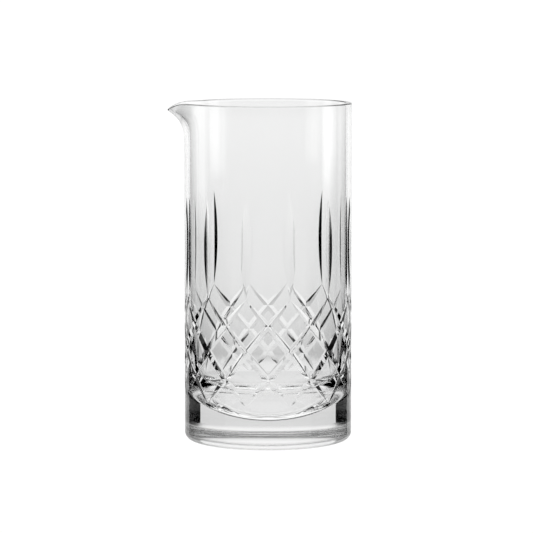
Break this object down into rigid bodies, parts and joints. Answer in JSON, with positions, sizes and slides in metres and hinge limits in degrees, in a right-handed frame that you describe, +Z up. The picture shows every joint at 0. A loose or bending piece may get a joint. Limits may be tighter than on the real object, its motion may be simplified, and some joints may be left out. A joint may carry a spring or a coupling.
{
  "type": "mixing glass",
  "caption": "Straight-walled bartender's mixing glass with a heavy base, a pulled pouring spout, upright olive cuts and a diamond lattice cut round its lower half.",
  "frame": {"origin": "centre of the ring that the glass stands on, on the table", "axes": "+Z up along the axis of the glass, the spout points along -X"},
  "size_m": [0.0946, 0.086, 0.174],
  "materials": {
    "clear_glass": "fire-polished, clear"
  },
  "bodies": {
    "root": {"mixing_glass": "clear_glass"}
  },
  "joints": []
}
